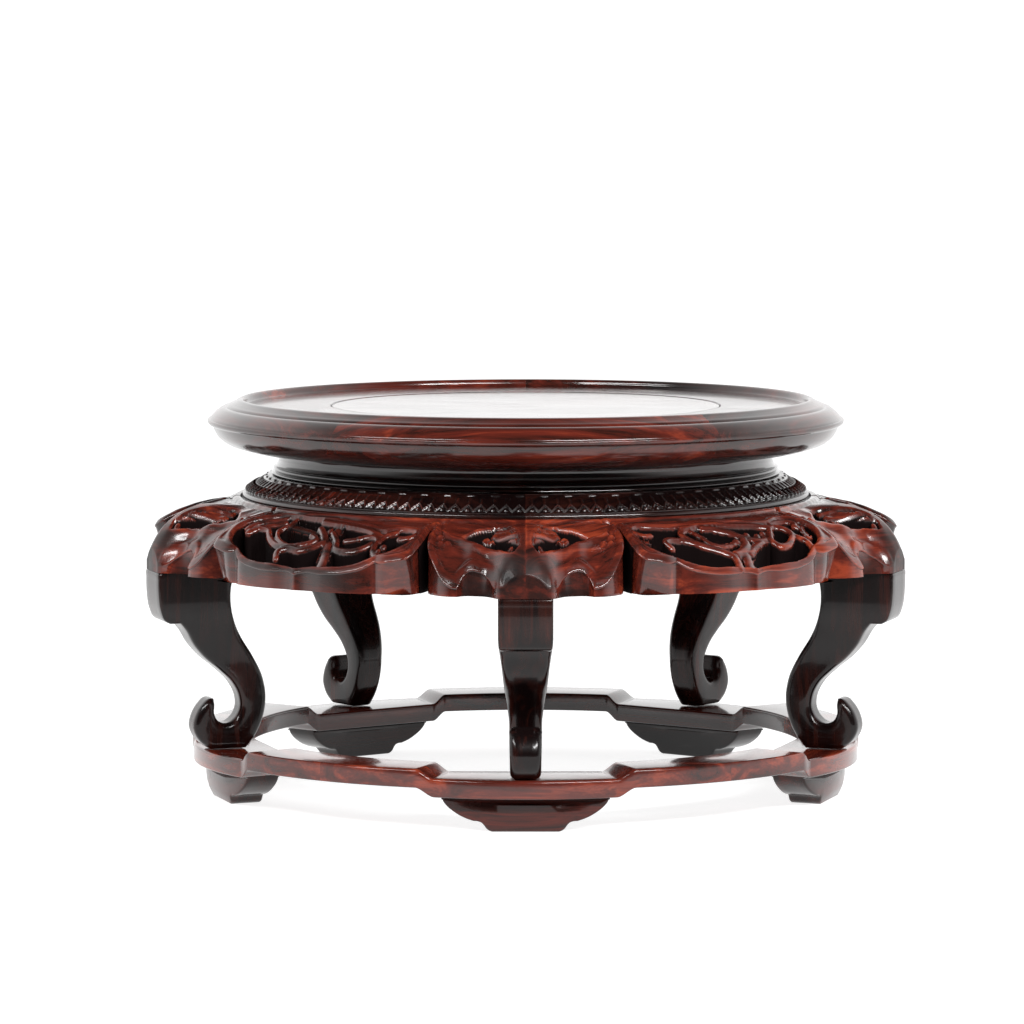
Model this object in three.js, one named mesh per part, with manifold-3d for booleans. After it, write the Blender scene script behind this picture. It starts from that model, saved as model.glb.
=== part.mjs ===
// A round five-legged display stand in polished rosewood, with a humpback base ring.
// Millimetres, +Z up. The origin is on the floor, on the axis of the top. One leg faces -Y.
import * as THREE from "three";
import { mergeVertices } from "three/addons/utils/BufferGeometryUtils.js";
import Module from "manifold-3d";

const wasm = await Module();
wasm.setup();

// Whole stand
const SIDES = 5;
const SECTOR = 360 / SIDES;
const HALF_SECTOR = SECTOR / 2;
const FRONT = -90;
const GAP = 0.3;
const SEAM_HALF_ANGLE = 0.1;
const ARC_STEPS = 8;

// Top: a ring frame with a raised lip round a floating panel
const TOP_R = 120;
const TOP_BOTTOM_Z = 129.4;
const TOP_SURFACE_Z = 145.3;
const LIP_Z = 147.9;
const FRAME_INNER_R = 73.7;
const PANEL_R = 73.3;
const PANEL_TOP_Z = 145.1;
const PANEL_BOTTOM_Z = 136.4;
const PANEL_TONGUE = 3.9;
const PANEL_TONGUE_TOP_Z = 139.8;
const PANEL_SEGMENTS = 48;
const TOP_KEY = { r: 94, length: 12, width: 14, z: 135.5, thickness: 5 };

// Two dovetailed battens across the underside of the panel
const BATTEN_X = 30;
const BATTEN_HALF_LENGTH = 74;
const BATTEN_TOP_Z = 138.4;
const BATTEN_BOTTOM_Z = 132.2;
const BATTEN_TOP_HALF_WIDTH = 7;
const BATTEN_BOTTOM_HALF_WIDTH = 5.6;

// Waist and the sloping collar under it
const WAIST_INNER_R = 85.6;
const WAIST_BOTTOM_Z = 120;
const WAIST_TOP_Z = 129.1;
const COLLAR_TOP_Z = 119.7;
const COLLAR_BOTTOM_Z = 109.5;
const COLLAR_BEAD_R = 106.7;
const COLLAR_CONE_BOTTOM_Z = 113.3;

// Apron ring: a dome that falls from an inner rim to a lobed outer edge
const APRON_BOTTOM_Z = 86.6;
const APRON_INNER_R = 98.3;
const APRON_BACK_Z = 99;
const APRON_BACK_R = 112;
const LEDGE_R = 107;
const LEDGE_Z = 109.2;
const RIM_R = 109.5;
const RIM_Z = 110.9;
const APRON_SEAM_ANGLE = 0.08;
const DOME_BULGE = 1.4;
const DOME_SKEW = 1.35;
const RIDGE_HEIGHT = 5.4;
const RIDGE_WIDTH = 26;

// Half of the lobed edge in plan, from the middle of an apron to a leg: angle and radius
const EDGE = [
  [0, 141.6],
  [1.2, 140.9],
  [5, 141.8],
  [9, 141.4],
  [12, 140.2],
  [13.3, 138.6],
  [14.3, 139.4],
  [16.5, 138.6],
  [18.2, 137],
  [19, 134],
  [19.3, 127],
  [19.5, 115.5],
  [19.9, 118],
  [20.5, 127],
  [21.5, 132.5],
  [22.8, 137],
  [24.6, 139.9],
  [26.3, 139.6],
  [26.8, 137.5],
  [28.4, 136.8],
  [30.6, 137.4],
  [31.8, 143.4],
  [34, 145.2],
  [36, 145.6],
];

// Where the dome ends, without the lobes and notches: angle, radius and height
const DOME_EDGE = [
  [0, 141.6, 92.4],
  [5, 141.8, 93.4],
  [9, 141.4, 94.4],
  [12, 140.2, 96.4],
  [16.4, 139, 97.5],
  [19.3, 138.8, 97.8],
  [21.6, 139, 96.6],
  [24.8, 139.9, 92.8],
  [26.4, 139.4, 91.8],
  [28.4, 138, 96.4],
  [31.8, 143.4, 96.4],
  [34, 145.2, 99.2],
  [36, 145.6, 100.6],
];

// Pierced windows of half an apron: corners as angle from its middle and radius
const WINDOWS = [
  [[2.2, 114.6], [6, 113.2], [9.6, 115.4], [8.6, 119], [5, 121], [2, 119.6]],
  [[11.2, 121.4], [14, 119.4], [17, 121.6], [16.8, 128.6], [14.2, 132.6], [11.6, 129.6]],
  [[1.4, 128.4], [4.4, 126.2], [8.4, 127.6], [10, 131.4], [7, 135.2], [2, 134.6]],
  [[26, 117.5], [28.6, 117.5], [29.4, 126], [32, 136], [32.6, 140.6], [30, 134], [27.2, 125.5]],
];
const WINDOW_TOP_Z = 125;
const WINDOW_BOTTOM_Z = 80;

// Legs
const LEG_WIDTH = 19.6;
const LEG_OUTER_R = 145.6;
const ROOF_Z = 101.5;
const POST_INNER_R = 74.5;
const POST_OUTER_R = 84.2;
const POST_TOP_Z = 129.1;
const SHOULDER_R = 97.2;
const TOP_TENON = { r: 81.7, length: 4.6, width: 10, bottom: 127, top: 135 };
const FOOT_TENON = { r: 114.5, length: 5, width: 8, bottom: 8.4, top: 21 };
const PLATE_BOTTOM_Z = 67.5;
const LEG_FOOT_Z = 19.7;
const SHOULDER_KEY = { r: 103, length: 7, width: 18, z: 104.8, thickness: 3.4 };

// Humpback base ring: low platforms under the legs, raised arcs between them
const PLATFORM_TOP_Z = 19.4;
const HUMP_RISE = 3.4;
const BASE_THICKNESS = 6.8;
const PLATFORM_CORNER_R = 125.2;
const PLATFORM_MIDDLE_R = 126.8;
const PLATFORM_INNER_CORNER_R = 103.3;
const PLATFORM_INNER_MIDDLE_R = 99.8;
const PLATFORM_HALF_ANGLE = 15.2;
const HUMP_START_ANGLE = 18.4;
const HUMP_OUTER_R = 126.4;
const HUMP_INNER_R = 104.6;
const BASE_KEY = { r: 115.5, length: 9, width: 14, z: 19.4, thickness: 3.2 };

// Bracket feet
const FOOT_TOP_Z = 12.3;
const FOOT_OUTER_R = 121.2;
const FOOT_DEPTH = 13.5;

const radians = THREE.MathUtils.degToRad;

function makeSolid(geometry) {
  const bare = geometry.index ? geometry.toNonIndexed() : geometry.clone();
  bare.deleteAttribute("normal");
  bare.deleteAttribute("uv");
  const merged = mergeVertices(bare, 1e-4);
  return new wasm.Manifold(
    new wasm.Mesh({
      numProp: 3,
      vertProperties: new Float32Array(merged.attributes.position.array),
      triVerts: new Uint32Array(merged.index.array),
    }),
  );
}

function makeGeometry(solid) {
  const mesh = solid.getMesh();
  const geometry = new THREE.BufferGeometry();
  geometry.setAttribute("position", new THREE.BufferAttribute(mesh.vertProperties, 3));
  geometry.setIndex(new THREE.BufferAttribute(mesh.triVerts, 1));
  geometry.computeVertexNormals();
  return geometry;
}

// A closed solid through rings of [radius, height] points, one ring for each angle in degrees
function loftArc(angles, ringAt) {
  const rings = angles.map(ringAt);
  const count = rings[0].length;
  const positions = [];
  rings.forEach((ring, i) => {
    const angle = radians(angles[i]);
    ring.forEach(([r, z]) => positions.push(r * Math.cos(angle), r * Math.sin(angle), z));
  });
  const index = [];
  for (let i = 0; i + 1 < rings.length; i += 1) {
    for (let j = 0; j < count; j += 1) {
      const here = i * count + j;
      const next = i * count + ((j + 1) % count);
      index.push(here, next + count, next);
      index.push(here, here + count, next + count);
    }
  }
  const last = (rings.length - 1) * count;
  const cap = (ring) => THREE.ShapeUtils.triangulateShape(ring.map(([r, z]) => new THREE.Vector2(r, z)), []);
  cap(rings[0]).forEach(([a, b, c]) => index.push(a, b, c));
  cap(rings[rings.length - 1]).forEach(([a, b, c]) => index.push(last + a, last + c, last + b));
  const geometry = new THREE.BufferGeometry();
  geometry.setAttribute("position", new THREE.Float32BufferAttribute(positions, 3));
  geometry.setIndex(index);
  return makeSolid(geometry);
}

function evenAngles(from, to, steps) {
  return Array.from({ length: steps + 1 }, (_, i) => from + ((to - from) * i) / steps);
}

// A moulding of constant section that fills one sector, centred on angle 0
function arcOf(profile) {
  const end = HALF_SECTOR - SEAM_HALF_ANGLE;
  return loftArc(evenAngles(-end, end, ARC_STEPS), () => profile);
}

// A block whose length lies along the radius at angle 0
function block(r, length, width, bottom, top) {
  const box = new THREE.BoxGeometry(length, width, top - bottom);
  return makeSolid(box.translate(r, 0, (top + bottom) / 2));
}

function keyBlock(key, margin) {
  const half = key.thickness / 2 + margin;
  return block(key.r, key.length + 2 * margin, key.width + 2 * margin, key.z - half, key.z + half);
}

function tenonBlock(tenon, margin) {
  const length = tenon.length + 2 * margin;
  return block(tenon.r, length, tenon.width + 2 * margin, tenon.bottom - margin, tenon.top + margin);
}

function turned(solid, degrees) {
  return solid.rotate([0, 0, degrees]);
}

// A flat outline of [across, height] points, pushed along the radius from r0 to r1 at angle 0
function alongRadius(points, r0, r1) {
  const shape = new THREE.Shape(points.map(([t, z]) => new THREE.Vector2(t, z)));
  const geometry = new THREE.ExtrudeGeometry(shape, { depth: r1 - r0, bevelEnabled: false });
  geometry.rotateX(Math.PI / 2);
  geometry.rotateZ(Math.PI / 2);
  return makeSolid(geometry.translate(r0, 0, 0));
}

// Ring frame of the top, with its lip, convex edge, arris bead and the groove for the panel's tongue
const GROOVE_R = PANEL_R + PANEL_TONGUE + 1.4;
const FRAME_PROFILE = [
  [FRAME_INNER_R, TOP_BOTTOM_Z],
  [109.4, TOP_BOTTOM_Z + 1],
  [114.4, 132.4],
  [117, 135.2],
  [118.7, 137.8],
  [TOP_R, 139.6],
  [119, 140.7],
  [117.2, 142.6],
  [114.8, 144.8],
  [113, 145.4],
  [108.8, 147.4],
  [107.3, LIP_Z],
  [106.3, 147.3],
  [105.6, TOP_SURFACE_Z],
  [FRAME_INNER_R, TOP_SURFACE_Z],
  [FRAME_INNER_R, PANEL_TONGUE_TOP_Z + GAP],
  [GROOVE_R, PANEL_TONGUE_TOP_Z + GAP],
  [GROOVE_R, PANEL_BOTTOM_Z - GAP],
  [FRAME_INNER_R, PANEL_BOTTOM_Z - GAP],
];

const WAIST_PROFILE = [
  [WAIST_INNER_R, WAIST_BOTTOM_Z],
  [95.8, WAIST_BOTTOM_Z],
  [95.6, 121],
  [94.8, 121.4],
  [95.1, 122.4],
  [93.7, 124],
  [93.2, 126.2],
  [93.6, 128],
  [94.6, WAIST_TOP_Z],
  [WAIST_INNER_R, WAIST_TOP_Z],
];

const COLLAR_PROFILE = [
  [WAIST_INNER_R + 0.3, COLLAR_BOTTOM_Z],
  [105.8, COLLAR_BOTTOM_Z],
  [COLLAR_BEAD_R, 110.8],
  [COLLAR_BEAD_R, 112.4],
  [106.3, COLLAR_CONE_BOTTOM_Z],
  [96.9, COLLAR_TOP_Z],
  [WAIST_INNER_R + 0.3, COLLAR_TOP_Z],
];

// Side view of a leg as radius and height: post behind the waist, shoulder, front plate, the
// outward curl of the foot, then back up its inner side
const LEG_OUTLINE = [
  [POST_INNER_R, POST_TOP_Z],
  [POST_OUTER_R, POST_TOP_Z],
  [POST_OUTER_R, LEDGE_Z],
  [SHOULDER_R, LEDGE_Z],
  [SHOULDER_R, ROOF_Z],
  [142.8, ROOF_Z],
  [144.6, 98.6],
  [LEG_OUTER_R, 90],
  [145.4, 79],
  [144.2, 71],
  [142.6, 68],
  [140.6, PLATE_BOTTOM_Z],
  [136.8, PLATE_BOTTOM_Z],
  [134.4, 64.8],
  [131, 58.5],
  [127, 54.2],
  [120.6, 49],
  [115.8, 44],
  [113.4, 39],
  [113.2, 35],
  [115, 31.4],
  [118.6, 29],
  [121.8, 30.2],
  [123.7, 33.2],
  [124, 38.9],
  [127.4, 36.6],
  [130, 32.4],
  [130.9, 28],
  [129, 23.4],
  [124.4, LEG_FOOT_Z],
  [111, LEG_FOOT_Z],
  [107, 24.8],
  [104, 31.6],
  [103.1, 38.6],
  [104.4, 46.2],
  [108.6, 54.2],
  [113.4, 61.8],
  [116.8, 69],
  [117.9, 76],
  [116.8, 84],
  [110, 92],
  [96, 98],
  [POST_INNER_R, 103],
];

// Half-width of the leg's thickness at a height
const LEG_TAPER = [
  [LEG_FOOT_Z, 5.6],
  [39, 5.9],
  [46, 6.8],
  [52, 7.7],
  [61, 8.6],
  [PLATE_BOTTOM_Z, LEG_WIDTH / 2],
];

function legHalfWidth(z) {
  const above = LEG_TAPER.findIndex(([height]) => height >= z);
  if (above < 0) return LEG_WIDTH / 2;
  if (above === 0) return LEG_TAPER[0][1];
  const [z0, w0] = LEG_TAPER[above - 1];
  const [z1, w1] = LEG_TAPER[above];
  return w0 + ((w1 - w0) * (z - z0)) / (z1 - z0);
}

// The mitred top of the leg under the aprons: two 45 degree slopes that meet on its middle line
function roofOutline(halfWidth, roofZ, farZ) {
  return [
    [-halfWidth, farZ],
    [-halfWidth, roofZ - halfWidth],
    [0, roofZ],
    [halfWidth, roofZ - halfWidth],
    [halfWidth, farZ],
  ];
}

function makeLeg() {
  const shape = new THREE.Shape(LEG_OUTLINE.map(([r, z]) => new THREE.Vector2(r, z)));
  const geometry = new THREE.ExtrudeGeometry(shape, { depth: LEG_WIDTH, bevelEnabled: false });
  geometry.translate(0, 0, -LEG_WIDTH / 2);
  geometry.rotateX(Math.PI / 2);
  const position = geometry.attributes.position;
  for (let i = 0; i < position.count; i += 1) {
    position.setY(i, Math.sign(position.getY(i)) * legHalfWidth(position.getZ(i)));
  }
  const aboveRoof = alongRadius(roofOutline(LEG_WIDTH, ROOF_Z, 125), SHOULDER_R, LEG_OUTER_R + 5);
  return makeSolid(geometry)
    .subtract(aboveRoof)
    .add(tenonBlock(TOP_TENON, 0))
    .add(tenonBlock(FOOT_TENON, 0));
}

// What an apron leaves free for the leg it meets
function legClearance() {
  const halfWidth = LEG_WIDTH / 2 + GAP;
  const outline = roofOutline(halfWidth, ROOF_Z + GAP * Math.SQRT2, WINDOW_BOTTOM_Z - 5);
  return alongRadius(outline, SHOULDER_R - 1, LEG_OUTER_R + 5);
}

// Values of a table whose first column is an angle, between its rows
function tableAt(table, angle) {
  const above = table.findIndex((row) => row[0] >= angle);
  if (above === 0) return table[0];
  const [from, to] = [table[above - 1], table[above]];
  const share = (angle - from[0]) / (to[0] - from[0]);
  return from.map((value, i) => THREE.MathUtils.lerp(value, to[i], share));
}

// Height of the dome at an angle from the apron's middle, with the low ridge over each leg
function domeHeight(angle, r) {
  const [, reach, edgeZ] = tableAt(DOME_EDGE, Math.abs(angle));
  const s = THREE.MathUtils.clamp((r - RIM_R) / (reach - RIM_R), 0, 1);
  const skewed = s ** DOME_SKEW;
  const across = r * Math.sin(radians(HALF_SECTOR - Math.abs(angle)));
  const ridge = RIDGE_HEIGHT * Math.exp(-((across / RIDGE_WIDTH) ** 2));
  return RIM_Z + s * (edgeZ - RIM_Z) + 4 * skewed * (1 - skewed) * (DOME_BULGE + ridge);
}

// Section of the apron at an angle from its middle
function apronSection([angle, edgeR]) {
  const section = [
    [APRON_INNER_R, APRON_BACK_Z],
    [APRON_BACK_R, APRON_BOTTOM_Z],
    [edgeR, APRON_BOTTOM_Z],
  ];
  for (const s of [1, 0.88, 0.7, 0.48, 0.24]) {
    const r = RIM_R + s * (edgeR - RIM_R);
    section.push([r, domeHeight(angle, r)]);
  }
  section.push([RIM_R, RIM_Z], [LEDGE_R + 0.4, RIM_Z], [LEDGE_R, LEDGE_Z - GAP], [APRON_INNER_R, LEDGE_Z - GAP]);
  return section;
}

function windowPrism(corners, side) {
  const points = corners.map(([angle, r]) => {
    const a = radians(side * angle);
    return new THREE.Vector2(r * Math.cos(a), r * Math.sin(a));
  });
  const height = WINDOW_TOP_Z - WINDOW_BOTTOM_Z;
  const geometry = new THREE.ExtrudeGeometry(new THREE.Shape(points), { depth: height, bevelEnabled: false });
  return makeSolid(geometry.translate(0, 0, WINDOW_BOTTOM_Z));
}

function makeApron() {
  const half = EDGE.map((row) => [...row]);
  half[half.length - 1][0] = HALF_SECTOR - APRON_SEAM_ANGLE;
  const mirrored = half.slice(1).map(([angle, r]) => [-angle, r]);
  const rows = [...mirrored.reverse(), ...half];
  const rowAt = new Map(rows.map((row) => [row[0], row]));
  let apron = loftArc([...rowAt.keys()], (angle) => apronSection(rowAt.get(angle)));
  for (const side of [-1, 1]) {
    for (const corners of WINDOWS) {
      apron = apron.subtract(windowPrism(corners, side));
    }
    apron = apron.subtract(turned(legClearance(), side * HALF_SECTOR));
    apron = apron.subtract(turned(keyBlock(SHOULDER_KEY, GAP), side * HALF_SECTOR));
  }
  return apron;
}

// A batten lies along Y; its ends stop in mortises in the ring frame
function makeBatten(x, margin) {
  const top = BATTEN_TOP_HALF_WIDTH + margin;
  const bottom = BATTEN_BOTTOM_HALF_WIDTH + margin;
  const shape = new THREE.Shape([
    new THREE.Vector2(-bottom, BATTEN_BOTTOM_Z - margin),
    new THREE.Vector2(bottom, BATTEN_BOTTOM_Z - margin),
    new THREE.Vector2(top, BATTEN_TOP_Z + margin),
    new THREE.Vector2(-top, BATTEN_TOP_Z + margin),
  ]);
  const length = 2 * (BATTEN_HALF_LENGTH + margin);
  const geometry = new THREE.ExtrudeGeometry(shape, { depth: length, bevelEnabled: false });
  geometry.translate(0, 0, -length / 2);
  geometry.rotateX(Math.PI / 2);
  return makeSolid(geometry.translate(x, 0, 0));
}

function makePanel() {
  const profile = [
    [0, PANEL_BOTTOM_Z],
    [PANEL_R + PANEL_TONGUE, PANEL_BOTTOM_Z],
    [PANEL_R + PANEL_TONGUE, PANEL_TONGUE_TOP_Z],
    [PANEL_R, PANEL_TONGUE_TOP_Z],
    [PANEL_R, PANEL_TOP_Z - 0.6],
    [PANEL_R - 0.6, PANEL_TOP_Z],
    [0, PANEL_TOP_Z],
  ];
  const geometry = new THREE.LatheGeometry(profile.map(([r, z]) => new THREE.Vector2(r, z)), PANEL_SEGMENTS);
  geometry.rotateX(Math.PI / 2);
  let panel = makeSolid(geometry);
  for (const side of [-1, 1]) {
    panel = panel.subtract(makeBatten(side * BATTEN_X, GAP));
  }
  return panel;
}

function makeTopFrame(azimuth) {
  let arc = turned(arcOf(FRAME_PROFILE), azimuth);
  arc = arc.subtract(turned(tenonBlock(TOP_TENON, GAP), azimuth));
  for (const side of [-1, 1]) {
    arc = arc.subtract(turned(keyBlock(TOP_KEY, GAP), azimuth + side * HALF_SECTOR));
    arc = arc.subtract(makeBatten(side * BATTEN_X, GAP));
  }
  return arc;
}

// Smooth step from the platform level to the hump level over the ogee between them
function humpShare(angle) {
  const s = (Math.abs(angle) - PLATFORM_HALF_ANGLE) / (HUMP_START_ANGLE - PLATFORM_HALF_ANGLE);
  return THREE.MathUtils.smoothstep(s, 0, 1);
}

function baseSection(angle) {
  const share = humpShare(angle);
  const along = Math.min(1, Math.abs(angle) / PLATFORM_HALF_ANGLE) ** 2;
  const platformOuter = THREE.MathUtils.lerp(PLATFORM_MIDDLE_R, PLATFORM_CORNER_R, along);
  const platformInner = THREE.MathUtils.lerp(PLATFORM_INNER_MIDDLE_R, PLATFORM_INNER_CORNER_R, along);
  const outer = THREE.MathUtils.lerp(platformOuter, HUMP_OUTER_R, share);
  const inner = THREE.MathUtils.lerp(platformInner, HUMP_INNER_R, share);
  const top = PLATFORM_TOP_Z + share * HUMP_RISE;
  return [
    [inner, top - BASE_THICKNESS],
    [outer, top - BASE_THICKNESS],
    [outer, top],
    [inner, top],
  ];
}

function makeBaseSegment() {
  const end = HALF_SECTOR - SEAM_HALF_ANGLE;
  const half = [5, 10, PLATFORM_HALF_ANGLE, 16, 16.8, 17.6, HUMP_START_ANGLE, 24, 30, end];
  const angles = [...half.map((angle) => -angle).reverse(), 0, ...half];
  let segment = loftArc(angles, baseSection).subtract(tenonBlock(FOOT_TENON, GAP));
  for (const side of [-1, 1]) {
    segment = segment.subtract(turned(keyBlock(BASE_KEY, GAP), side * HALF_SECTOR));
  }
  return segment;
}

// Right half of the bracket foot seen from outside: across and height, from the top corner down
const FOOT_HALF = [
  [30.6, FOOT_TOP_Z],
  [29, 9.6],
  [25.8, 6.9],
  [21.6, 4.9],
  [18, 3.8],
  [15.6, 3.2],
  [14.2, 1.4],
  [12.8, 0],
];

// A bracket foot is cut from an arc, so its outer and inner faces follow the ring above it
function makeFoot() {
  const left = FOOT_HALF.map(([t, z]) => [-t, z]).reverse();
  const outline = alongRadius([...FOOT_HALF, ...left], 0, FOOT_OUTER_R + 5);
  const inner = FOOT_OUTER_R - FOOT_DEPTH;
  const arc = arcOf([
    [inner, -1],
    [FOOT_OUTER_R, -1],
    [FOOT_OUTER_R, FOOT_TOP_Z + 1],
    [inner, FOOT_TOP_Z + 1],
  ]);
  return arc.intersect(outline).subtract(tenonBlock(FOOT_TENON, GAP));
}

const RED_BROWN = { color: "#5a2114", roughness: 0.22, metalness: 0 };
const DARK_BROWN = { color: "#2a1510", roughness: 0.2, metalness: 0 };
const KEY_WOOD = { color: "#6e4429", roughness: 0.5, metalness: 0 };

const group = new THREE.Group();

function addPiece(name, solid, finish) {
  const mesh = new THREE.Mesh(makeGeometry(solid), new THREE.MeshStandardMaterial(finish));
  mesh.name = name;
  group.add(mesh);
}

addPiece("top_panel", makePanel(), RED_BROWN);
addPiece("panel_batten_left", makeBatten(-BATTEN_X, 0), DARK_BROWN);
addPiece("panel_batten_right", makeBatten(BATTEN_X, 0), DARK_BROWN);

const leg = makeLeg();
const apron = makeApron();
const baseSegment = makeBaseSegment();
const foot = makeFoot();
const waist = arcOf(WAIST_PROFILE);
const collar = arcOf(COLLAR_PROFILE);

for (let i = 0; i < SIDES; i += 1) {
  const number = i + 1;
  const legAngle = FRONT + i * SECTOR;
  const middleAngle = legAngle + HALF_SECTOR;
  addPiece(`top_frame_${number}`, makeTopFrame(legAngle), RED_BROWN);
  addPiece(`top_frame_key_${number}`, turned(keyBlock(TOP_KEY, 0), middleAngle), KEY_WOOD);
  addPiece(`waist_${number}`, turned(waist, middleAngle), DARK_BROWN);
  addPiece(`collar_${number}`, turned(collar, middleAngle), DARK_BROWN);
  addPiece(`apron_${number}`, turned(apron, middleAngle), RED_BROWN);
  addPiece(`shoulder_key_${number}`, turned(keyBlock(SHOULDER_KEY, 0), legAngle), KEY_WOOD);
  addPiece(`leg_${number}`, turned(leg, legAngle), DARK_BROWN);
  addPiece(`base_segment_${number}`, turned(baseSegment, legAngle), RED_BROWN);
  addPiece(`base_key_${number}`, turned(keyBlock(BASE_KEY, 0), middleAngle), KEY_WOOD);
  addPiece(`bracket_foot_${number}`, turned(foot, legAngle), DARK_BROWN);
}

export default group;
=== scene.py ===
import math

import bmesh
import bpy
import numpy as np
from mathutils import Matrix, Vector
from mathutils.geometry import delaunay_2d_cdt


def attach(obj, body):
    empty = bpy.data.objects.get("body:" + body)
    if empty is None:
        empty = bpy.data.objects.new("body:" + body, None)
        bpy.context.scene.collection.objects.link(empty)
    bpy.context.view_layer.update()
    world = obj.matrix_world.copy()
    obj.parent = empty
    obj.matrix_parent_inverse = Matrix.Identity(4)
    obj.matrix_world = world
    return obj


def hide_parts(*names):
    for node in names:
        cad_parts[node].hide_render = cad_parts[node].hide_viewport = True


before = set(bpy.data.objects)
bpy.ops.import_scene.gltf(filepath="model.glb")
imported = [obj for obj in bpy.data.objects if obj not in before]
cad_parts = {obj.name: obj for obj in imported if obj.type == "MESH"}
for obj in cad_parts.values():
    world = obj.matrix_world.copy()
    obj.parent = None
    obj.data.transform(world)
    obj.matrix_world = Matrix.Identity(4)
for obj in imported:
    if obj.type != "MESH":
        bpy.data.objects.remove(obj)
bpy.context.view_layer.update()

# Shapes are written in millimetres, in a frame of each piece's own: +X is the middle of the
# piece, pointing out from the axis, and +Z is up. Angles are in degrees.
MM = 0.001
SIDES = 5
SECTOR = 360 / SIDES
HALF_SECTOR = SECTOR / 2
FRONT = -90
SEAM_ANGLE = 0.001

# Apron ring
RIM_R = 109.5
RIM_Z = 110.9
RIM_INNER_R = 107.3
LEDGE_Z = 108.9
APRON_INNER_R = 98.3
APRON_BACK_Z = 99.0
APRON_BACK_R = 112.0
APRON_BOTTOM_Z = 86.6
DOME_BULGE = 1.4
DOME_SKEW = 1.35
RIDGE_HEIGHT = 5.4
RIDGE_WIDTH = 26.0

# Legs
LEG_HALF_WIDTH = 9.8
ROOF_Z = 101.5
HIDDEN_FACE = [(136, ROOF_Z), (141, 97), (143.6, 91.5), (144.2, 86.9)]
SHOULDER_R = 97.2

# Base ring
PLATFORM_TOP_Z = 19.4
HUMP_RISE = 3.4
BASE_THICKNESS = 6.8
PLATFORM_MIDDLE_R = 126.8
PLATFORM_CORNER_R = 125.2
PLATFORM_INNER_MIDDLE_R = 99.8
PLATFORM_INNER_CORNER_R = 103.3
PLATFORM_HALF_ANGLE = 15.2
HUMP_START_ANGLE = 18.4
HUMP_OUTER_R = 126.4
HUMP_INNER_R = 104.6
FOOT_OUTER_R = 121.2
FOOT_DEPTH = 13.5


# Curves

def smooth_curve(points, step):
    """Points about a step apart on a smooth curve through the given points."""
    p = np.asarray(points, float)
    gaps = np.linalg.norm(np.diff(p, axis=0), axis=1)
    if len(p) == 2:
        count = max(1, round(gaps[0] / step))
        return p[0] + np.linspace(0, 1, count + 1)[:, None] * (p[1] - p[0])
    slopes = np.diff(p, axis=0) / gaps[:, None]
    before, after = gaps[:-1, None], gaps[1:, None]
    middle = (slopes[:-1] * after + slopes[1:] * before) / (before + after)
    first = slopes[:1] * 1.5 - middle[:1] * 0.5
    last = slopes[-1:] * 1.5 - middle[-1:] * 0.5
    tangents = np.concatenate([first, middle, last])
    out = [p[:1]]
    for i, gap in enumerate(gaps):
        count = max(1, round(gap / step))
        t = np.linspace(0, 1, count + 1)[1:, None]
        start = (1 + 2 * t) * (1 - t) ** 2 * p[i] + t * (1 - t) ** 2 * gap * tangents[i]
        end = t * t * (3 - 2 * t) * p[i + 1] + t * t * (t - 1) * gap * tangents[i + 1]
        out.append(start + end)
    return np.concatenate(out)


def path(*runs, step=0.6):
    """Smooth runs that meet in corners. Each run after the first starts where the last one ended."""
    line = smooth_curve(runs[0], step)
    for run in runs[1:]:
        line = np.concatenate([line, smooth_curve([tuple(line[-1]), *run], step)[1:]])
    return line


def from_polar(points):
    """Plan points in mm from (angle, radius) points."""
    p = np.asarray(points, float).reshape(-1, 2)
    a = np.radians(p[:, 0])
    return np.column_stack([p[:, 1] * np.cos(a), p[:, 1] * np.sin(a)])


def shape_of(runs, step=0.7):
    """Plan points in mm of smooth runs that meet in corners, from (angle, radius) points."""
    return path(*([from_polar([p])[0] for p in run] for run in runs), step=step)


def line_of(points):
    """Plan points in mm of a smooth line through (angle, radius) points, or of a single point."""
    line = from_polar(points)
    return smooth_curve(line, 1.0) if len(line) > 1 else line


def distance_to(x, y, line, closed=False):
    """Distance from each point to a polyline, and the share of its length where it is nearest."""
    ends = np.concatenate([line, line[:1]]) if closed else line
    if len(ends) == 1:
        return np.hypot(x - ends[0, 0], y - ends[0, 1]), np.zeros_like(x)
    lengths = np.linalg.norm(np.diff(ends, axis=0), axis=1)
    total = lengths.sum()
    best = np.full(x.shape, 1e12)
    share = np.zeros_like(x)
    done = 0.0
    for (x0, y0), (x1, y1), length in zip(ends[:-1], ends[1:], lengths):
        if length < 1e-9:
            continue
        along = np.clip(((x - x0) * (x1 - x0) + (y - y0) * (y1 - y0)) / length**2, 0, 1)
        d = (x - x0 - along * (x1 - x0)) ** 2 + (y - y0 - along * (y1 - y0)) ** 2
        nearer = d < best
        best = np.where(nearer, d, best)
        share = np.where(nearer, (done + along * length) / total, share)
        done += length
    return np.sqrt(best), share


def is_inside(x, y, outline):
    """Whether each point lies inside a closed outline."""
    inside = np.zeros(x.shape, bool)
    for (x0, y0), (x1, y1) in zip(outline, np.roll(outline, -1, axis=0)):
        if y0 == y1:
            continue
        crosses = ((y0 > y) != (y1 > y)) & (x < (x1 - x0) * (y - y0) / (y1 - y0) + x0)
        inside ^= crosses
    return inside


def depth_inside(x, y, outline):
    """Distance to a closed outline, above 0 inside it and below 0 outside."""
    d, _ = distance_to(x, y, outline, closed=True)
    return np.where(is_inside(x, y, outline), d, -d)


def smoothstep(t):
    """A smooth rise from 0 to 1 while t does the same."""
    t = np.clip(t, 0, 1)
    return t * t * (3 - 2 * t)


def bump(distance, half_width):
    """1 in the middle, falling to 0 at half_width on both sides."""
    return np.clip(1 - (distance / half_width) ** 2, 0, 1)


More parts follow.
